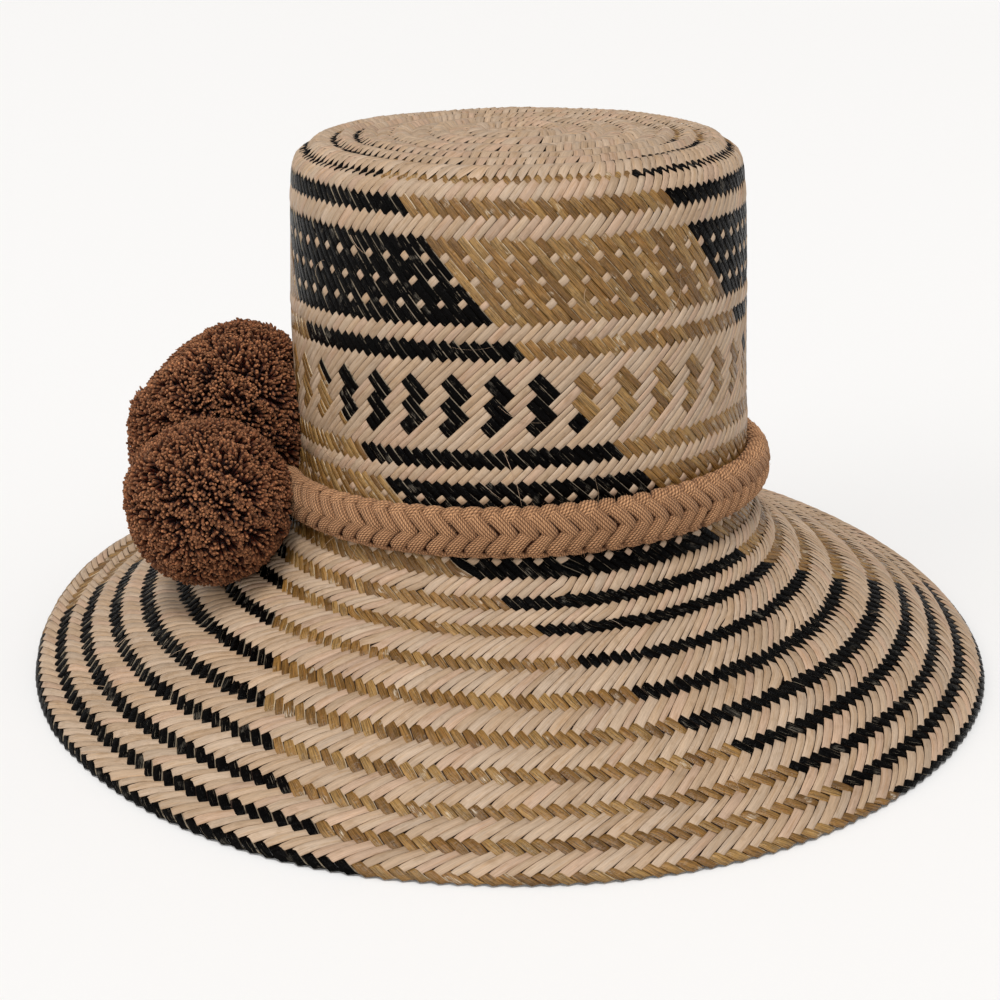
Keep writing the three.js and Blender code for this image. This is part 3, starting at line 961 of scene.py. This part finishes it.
def pompom_yarns(name, out, reach):
    """Part of a mesh: cut yarns, each a thin tapered tube with a closed tip that has painted light."""
    centre = np.array(POMPOMS[name]["centre"], float)
    each = (len(out), 1, 1, 1)
    first = unit(np.cross(out, np.where(np.abs(out[:, 2:]) < 0.9, [[0, 0, 1]], [[1, 0, 0]])))
    second = np.cross(out, first)
    depth = np.minimum(YARN_DEPTH[None], reach[:, None] * DEEPEST)
    hang = (1 - depth / YARN_DEPTH[-1]) ** LEAN_POWER
    spine = centre + out[:, None] * (reach[:, None, None] - depth[..., None])
    spine = spine + yarn_lean(name, out)[:, None] * hang[..., None]
    # The last stretch of every yarn curls over to its own side.
    curl = along_ball(out, random.normal(0, YARN_CURL, out.shape))
    spine = spine + curl[:, None] * np.clip(1 - depth / YARN_DEPTH[-2], 0, 1)[..., None]
    spin = random.uniform(0, TURN, (len(out), 1)) + np.linspace(0, TURN, YARN_SIDES, endpoint=False)
    ring = np.cos(spin)[:, None, :, None] * first[:, None, None]
    ring = ring + np.sin(spin)[:, None, :, None] * second[:, None, None]
    thick = YARN_RADIUS * random.uniform(*RADIUS_SPREAD, each) * YARN_WIDTH[None, :, None, None]
    points = spine[:, :, None] + ring * thick
    # Painted shade and light: from dark shade at the foot over the colour of the sides, halfway, to the pale
    # lit tip.
    pale = YARN_PAINTED_LIGHT[None, :, None, None]
    tone = between(YARN_DEEP_SHADE, YARN_SIDE, np.minimum(pale * 2, 1))
    tone = tone + (to_linear(YARN_LIT_TIP) - to_linear(YARN_SIDE)) * np.maximum(pale * 2 - 1, 0)
    tone = tone * random.uniform(*YARN_SHADES, each)
    seed = random.uniform(0, SEEDS["yarn"], each[:3])
    around = np.linspace(0, 1, YARN_SIDES, endpoint=False)
    face = np.concatenate([grid_quads(len(YARN_DEPTH), YARN_SIDES, False, True), [[3, 2, 1, 0]]])
    return mesh_part(points * MM, face, around, depth[..., None], seed, tone)


def pompom_head(name, directions, depths):
    """Part of a mesh: the head under the yarns, dark with painted shade, drawn in where they are pressed."""
    centre = np.array(POMPOMS[name]["centre"], float)
    slope = np.linspace(HEAD_OPENING, math.pi - HEAD_OPENING, HEAD_ROWS)[:, None]
    turn = np.linspace(0, TURN, HEAD_COLUMNS, endpoint=False)[None]
    level = np.cos(slope) + 0 * turn
    out = np.stack([np.sin(slope) * np.cos(turn), np.sin(slope) * np.sin(turn), level], axis=-1)
    out = out.reshape(-1, 3)
    nearest = np.argsort(-(out @ directions.T), axis=1)[:, :HEAD_NEIGHBOURS]
    depth = np.min(depths[nearest], axis=1)
    points = (centre + out * depth[:, None]).reshape(HEAD_ROWS, HEAD_COLUMNS, 3) * MM
    face = grid_quads(HEAD_ROWS, HEAD_COLUMNS, False, True)
    return mesh_part(points, face, 0.0, YARN_LENGTH, 0.0, to_linear(YARN_DEEP_SHADE))


def pompom(name):
    """The yarns of one pompom in two meshes, the first with its head."""
    size = POMPOMS[name]["radius"]
    out = spread_directions(int(4 * math.pi * size ** 2 / (YARN_SPACING ** 2 * YARN_PACKING)))
    out = unit(out + random.normal(0, SPACING_JITTER * YARN_SPACING / size, out.shape))
    reach, seen = yarn_reach(name, out)
    head = pompom_head(name, out, reach - np.minimum(YARN_LENGTH, reach * DEEPEST) * HEAD_DEPTH)
    out, reach = out[seen], reach[seen]
    half = len(out) // 2
    return [
        joined(f"pompom_{name}_over", [pompom_yarns(name, out[:half], reach[:half]), head]),
        joined(f"pompom_{name}_under", [pompom_yarns(name, out[half:], reach[half:])]),
    ]


# Materials. Noise between these limits covers its usual range.

USUAL = (0.3, 0.7)


class Paint:
    """A new material, with short ways to add nodes to it."""

    def __init__(self, name):
        self.material = bpy.data.materials.new(name)
        self.material.use_nodes = True
        self.tree = self.material.node_tree

    def fill(self, node, inputs):
        """Fills inputs of a node, given by name or number: links them, or sets plain values."""
        for key, value in inputs.items():
            if isinstance(value, bpy.types.NodeSocket):
                self.tree.links.new(value, node.inputs[key])
            else:
                node.inputs[key].default_value = value

    def add(self, kind, inputs, **settings):
        """Outputs of a new node."""
        node = self.tree.nodes.new("ShaderNode" + kind)
        for key, value in settings.items():
            setattr(node, key, value)
        self.fill(node, inputs)
        return node.outputs

    def math(self, operation, *values):
        return self.add("Math", dict(enumerate(values)), operation=operation)[0]

    def mix(self, blend, share, first, second):
        """Mix of two colours, by a share of the second."""
        return self.add("Mix", {0: share, 6: first, 7: second}, data_type="RGBA", blend_type=blend)[2]

    def times(self, first, second):
        """Product of two colours."""
        return self.mix("MULTIPLY", 1.0, first, second)

    def remap(self, value, limits, results=(0.0, 1.0)):
        """A value turned smoothly from its limits into two results."""
        inputs = dict(enumerate((value, *limits, *results)))
        return self.add("MapRange", inputs, interpolation_type="SMOOTHSTEP")[0]

    def bump(self, height, distance):
        """Normals of a fine relief, with its distance in metres."""
        return self.add("Bump", {"Strength": 0.6, "Distance": distance, "Height": height})[0]

    def finish(self, **inputs):
        """The material, with inputs of its shader filled. Their names have _ for a space."""
        inputs = {key.replace("_", " "): value for key, value in inputs.items()}
        self.fill(self.tree.nodes["Principled BSDF"], inputs)
        return self.material


class StripPaint(Paint):
    """A new material that knows the tint and the strip coordinates of its piece."""

    def __init__(self, name):
        super().__init__(name)
        self.tint = self.add("Attribute", {}, attribute_name="tint")["Color"]
        self.strip = self.add("Attribute", {}, attribute_name="strip")["Vector"]
        self.across, self.along, self.seed = self.add("SeparateXYZ", {0: self.strip})

    def noise(self, stretch, detail):
        """Noise in the coordinates across, along and seed."""
        place = self.add("Mapping", {"Scale": stretch, "Vector": self.strip})[0]
        inputs = {"Scale": 1.0, "Detail": detail, "Roughness": 0.6, "Vector": place}
        return self.add("TexNoise", inputs)["Fac"]


# Finish of each straw: roughness, shine, how strong its grain is, how dark its painted crease shade is and
# how crumpled its skin is. Dyed straw also has shares of pale cut edge and of painted sheen spots.
STRAW_FINISH = {
    "straw": {"rough": 0.50, "shine": 0.50, "grain": 0.18, "painted_crease": 0.55, "crumple": 0.35},
    "olive": {
        "rough": 0.30, "shine": 0.40, "grain": 0.62, "painted_crease": 0.9, "crumple": 1.3,
        "pale": 0.7, "painted_sheen": 0.75,
    },
    "black": {
        "rough": 0.24, "shine": 0.04, "grain": 0.30, "painted_crease": 0.9, "crumple": 1.6,
        "pale": 0.38, "painted_sheen": 0.16,
    },
}
# Noises of the straw: how fast they change across a strip, along it and from seed to seed, and detail.
STRAW_NOISES = {
    "grain": ((12, 0.16, 3.1), 4), "streak": ((3.0, 0.10, 1.7), 2), "fibre": ((34, 0.5, 5.3), 2),
    "patch": ((0.8, 0.22, 2.3), 3), "glint_line": ((26, 0.13, 7.7), 1), "painted_sheen": ((0.5, 0.16, 4.1), 1),
    "sheen_streak": ((16, 0.35, 6.1), 2), "wrinkle": ((1.6, 1.1, 2.9), 2),
}
# Where marks begin and are full: in their noise, across the strip, or in the choice of strips.
MARKS = {
    "streak": (0.48, 0.72), "patch": (0.52, 0.7), "worn": (0.38, 0.5), "pale": (0.90, 0.94),
    "chosen": (-0.3, 0.3), "glint_line": (0.72, 0.76), "painted_sheen": (0.63, 0.72), "sheen_streak": (0.50, 0.60),
    "painted_crease": (0.465, 0.5),
}
# Strongest streak, patch and painted glint, and what they and the painted crease shade leave of red,
# green and blue.
STREAK_SHARE = 0.5
PATCH_SHARE = 0.6
GLINT_LINE_SHARE = 0.40
STREAK_SHADE = (0.84, 0.74, 0.60, 1)
PATCH_SHADE = (0.80, 0.76, 0.70, 1)
PAINTED_CREASE_TONE = (0.45, 0.33, 0.23, 1)
# How much weaker the grain lightens than it darkens, and roughness on its dark and light sides.
GRAIN_LIGHT = 0.7
GRAIN_ROUGH = (-0.08, 0.12)
# Turns seeds into a choice of strips. Relief of fibres and wrinkles next to the grain's, and height.
CHOICE_TURN = 37.7
FIBRE_RELIEF = 0.6
WRINKLE_RELIEF = 2.2
STRAW_RELIEF = 0.00024


def add_dyed_marks(paint, colour, patch, own):
    """Pale edges of dyed straw, its split places with painted glints, and painted sheen spots."""
    pale_tone = (*to_linear(PALE_EDGE_TONE), 1)
    # Strips keep the plain straw's pale colour on one cut edge.
    edge = paint.remap(paint.across, MARKS["pale"])
    worn = paint.remap(patch, MARKS["worn"])
    choice = paint.math("SINE", paint.math("MULTIPLY", paint.seed, CHOICE_TURN))
    chosen = paint.remap(choice, MARKS["chosen"], (0.0, own["pale"]))
    pale = paint.math("MULTIPLY", edge, paint.math("MULTIPLY", worn, chosen))
    colour = paint.mix("MIX", pale, colour, pale_tone)
    # Here and there a thin pale line runs along the strip: partly split skin where pale straw shows and
    # partly a painted glint.
    glint_line = paint.remap(paint.noise(*STRAW_NOISES["glint_line"]), MARKS["glint_line"], (0.0, GLINT_LINE_SHARE))
    colour = paint.mix("MIX", glint_line, colour, pale_tone)
    # Painted highlight: some strips have a crumpled spot painted with a silvery sheen.
    painted_sheen = paint.remap(paint.noise(*STRAW_NOISES["painted_sheen"]), MARKS["painted_sheen"], (0.0, own["painted_sheen"]))
    sheen_streak = paint.remap(paint.noise(*STRAW_NOISES["sheen_streak"]), MARKS["sheen_streak"])
    return paint.mix("MIX", paint.math("MULTIPLY", painted_sheen, sheen_streak), colour, (*to_linear(PAINTED_SHEEN_TONE), 1))


def straw_material(group):
    """Split palm strips: grain along the strip, streaks, dull patches and painted shade along the long
    edges.
    """
    own = STRAW_FINISH[group]
    paint = StripPaint("straw_" + group)
    names = ("grain", "streak", "fibre", "patch", "wrinkle")
    grain, streak, fibre, patch, wrinkle = (paint.noise(*STRAW_NOISES[name]) for name in names)
    shades = (1 - own["grain"], 1 + own["grain"] * GRAIN_LIGHT)
    colour = paint.times(paint.tint, paint.remap(grain, USUAL, shades))
    warm_share = paint.remap(streak, MARKS["streak"], (0.0, STREAK_SHARE + own["grain"]))
    colour = paint.mix("MIX", warm_share, colour, paint.times(colour, STREAK_SHADE))
    dull_share = paint.remap(patch, MARKS["patch"], (0.0, PATCH_SHARE))
    colour = paint.mix("MIX", dull_share, colour, paint.times(colour, PATCH_SHADE))
    if "pale" in own:
        colour = add_dyed_marks(paint, colour, patch, own)
    # Painted shade: both long edges are darker where the next strip lies close.
    from_middle = paint.math("ABSOLUTE", paint.math("SUBTRACT", paint.across, 0.5))
    painted_crease = paint.remap(from_middle, MARKS["painted_crease"], (0.0, own["painted_crease"]))
    colour = paint.mix("MIX", painted_crease, colour, paint.times(colour, PAINTED_CREASE_TONE))
    rough = paint.remap(grain, USUAL, [own["rough"] + change for change in GRAIN_ROUGH])
    height = paint.math("ADD", grain, paint.math("MULTIPLY", fibre, FIBRE_RELIEF))
    height = paint.math("ADD", height, paint.math("MULTIPLY", wrinkle, WRINKLE_RELIEF * own["crumple"]))
    normal = paint.bump(height, STRAW_RELIEF)
    return paint.finish(Base_Color=colour, Roughness=rough, Specular_IOR_Level=own["shine"], Normal=normal)


LINER_SHADES = (0.6, 1.3)


def liner_material():
    """Painted shade: a dark straw colour for the shell that shows in the gaps between strips."""
    paint = Paint("straw_gap_shade")
    place = paint.add("TexCoord", {})["Object"]
    noise = paint.add("TexNoise", {"Scale": 420.0, "Detail": 2.0, "Vector": place})["Fac"]
    colour = paint.times((*to_linear(LINER_SHADE_TONE), 1), paint.remap(noise, USUAL, LINER_SHADES))
    return paint.finish(Base_Color=colour, Roughness=0.8)


# Finish of the cotton and the yarn: radians of twist per mm, darkest and palest painted shade and light of
# the twist's plies, and height of its relief in metres.
THREAD_FINISH = {
    "cotton": {"twist": 5.6, "shades": (0.62, 1.24), "relief": 0.00028},
    "yarn": {"twist": 3.4, "shades": (0.62, 1.22), "relief": 0.0003},
}
FUZZ_NOISE = ((1.4, 1.5, 4.0), 3)
FUZZ_SHADES = (0.84, 1.14)


def thread_material(name):
    """Twisted thread: fine slanting plies along each strand with painted shade and light, slightly fuzzy."""
    own = THREAD_FINISH[name]
    paint = StripPaint(name)
    twist = paint.math("MULTIPLY", paint.along, own["twist"])
    phase = paint.math("ADD", twist, paint.math("MULTIPLY", paint.across, TURN))
    ply = paint.math("SINE", paint.math("ADD", phase, paint.seed))
    fuzz = paint.noise(*FUZZ_NOISE)
    # Painted shade and light: the plies turn darker and paler in turn along the twist.
    colour = paint.times(paint.tint, paint.remap(ply, (-1.0, 1.0), own["shades"]))
    colour = paint.times(colour, paint.remap(fuzz, USUAL, FUZZ_SHADES))
    normal = paint.bump(paint.math("ADD", ply, fuzz), own["relief"])
    return paint.finish(
        Base_Color=colour, Normal=normal, Roughness=0.9, Specular_IOR_Level=0.1, Sheen_Weight=0.05,
        Sheen_Roughness=0.5,
    )


# Camera, floor and light.

CAMERA_PLACE = (-0.0042, -0.588, 0.271)
CAMERA_PITCH = 20.0
LENS = 51.77
# The floor reaches this far each way, in metres.
FLOOR_REACH = 40.0
FLOOR_SHADES = (0.89, 0.91)
SKY_TONE = (1.0, 0.985, 0.965, 1)
SKY_STRENGTH = 0.40
# Lights: where each shines from, its width in degrees, its strength and its colour.
LIGHTS = {
    "window": ((-0.12, -0.62, 1.5), 18, 1.86, (1.0, 0.99, 0.98)),
    "left_wall": ((-1.2, -0.7, 0.55), 40, 0.56, (1.0, 0.97, 0.93)),
    "lamp": ((0.25, -1.25, 0.75), 8, 0.56, (1.0, 0.99, 0.985)),
}


def add_camera():
    data = bpy.data.cameras.new("camera")
    data.lens = LENS
    data.sensor_width = 36
    data.clip_start = 0.01
    camera = bpy.data.objects.new("camera", data)
    camera.location = CAMERA_PLACE
    camera.rotation_euler = Euler((math.radians(90 - CAMERA_PITCH), 0, 0))
    bpy.context.scene.collection.objects.link(camera)
    bpy.context.scene.camera = camera


def add_light(name, place, width, strength, tone):
    """Wide, distant light that shines from a place towards the hat."""
    data = bpy.data.lights.new(name, "SUN")
    data.angle = math.radians(width)
    data.energy = strength
    data.color = tone
    light = bpy.data.objects.new(name, data)
    light.location = place
    light.rotation_mode = "QUATERNION"
    light.rotation_quaternion = (-Vector(place)).to_track_quat("-Z", "Y")
    bpy.context.scene.collection.objects.link(light)


def add_floor():
    corners = np.array([(-1, -1, 0), (1, -1, 0), (1, 1, 0), (-1, 1, 0)]) * FLOOR_REACH
    floor = mesh_object("floor", corners, [[0, 1, 2, 3]], smooth=False)
    paint = Paint("paper")
    tone = paint.remap(paint.add("TexNoise", {"Scale": 3.0, "Detail": 2.0})["Fac"], USUAL, FLOOR_SHADES)
    paper = paint.finish(Base_Color=paint.times((1, 1, 1, 1), tone), Roughness=0.9)
    floor.data.materials.append(paper)


def add_sky():
    world = bpy.data.worlds.new("studio")
    world.use_nodes = True
    background = world.node_tree.nodes["Background"]
    background.inputs["Color"].default_value = SKY_TONE
    background.inputs["Strength"].default_value = SKY_STRENGTH
    bpy.context.scene.world = world
    bpy.context.scene.view_settings.view_transform = "Standard"


# The scene.

def dress(piece, material, node):
    """Gives a piece its material, attaches it to the root body and hides the solid that it stands for."""
    piece.data.materials.append(material)
    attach(piece, "root")
    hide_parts(node)


add_camera()
add_floor()
add_sky()
for name, settings in LIGHTS.items():
    add_light(name, *settings)

straws = {group: straw_material(group) for group in TONES}
rings = [Ring(index) for index in range(len(RINGS))]
crown_end = len(CROWN_RINGS)
brim_middle = crown_end + len(INNER_BRIM_RINGS)
# Rings of each section, and whether it is on the outside.
SECTIONS = {
    "crown": (rings[:crown_end], True),
    "brim_inner": (rings[crown_end:brim_middle], True),
    "brim_outer": (rings[brim_middle:], True),
    "crown_inside": (rings[:crown_end], False),
    "brim_underside": (rings[crown_end:-1], False),
}
for section, (members, outside) in SECTIONS.items():
    for group, material in straws.items():
        dress(weave(f"{section}_{group}", members, outside, group), material, "hat_body")
dress(centre_patch(), straws["straw"], "hat_body")
dress(loose_fibres(), straws["straw"], "hat_body")
dress(liner(), liner_material(), "hat_body")

strands = [band_strands(name) for name in BAND_STRANDS]
band = joined("band_plait", [band_core(), *strands, band_hairs()])
dress(band, thread_material("cotton"), "hat_band")

yarn = thread_material("yarn")
for name in POMPOMS:
    for piece in pompom(name):
        dress(piece, yarn, "pompom_" + name)
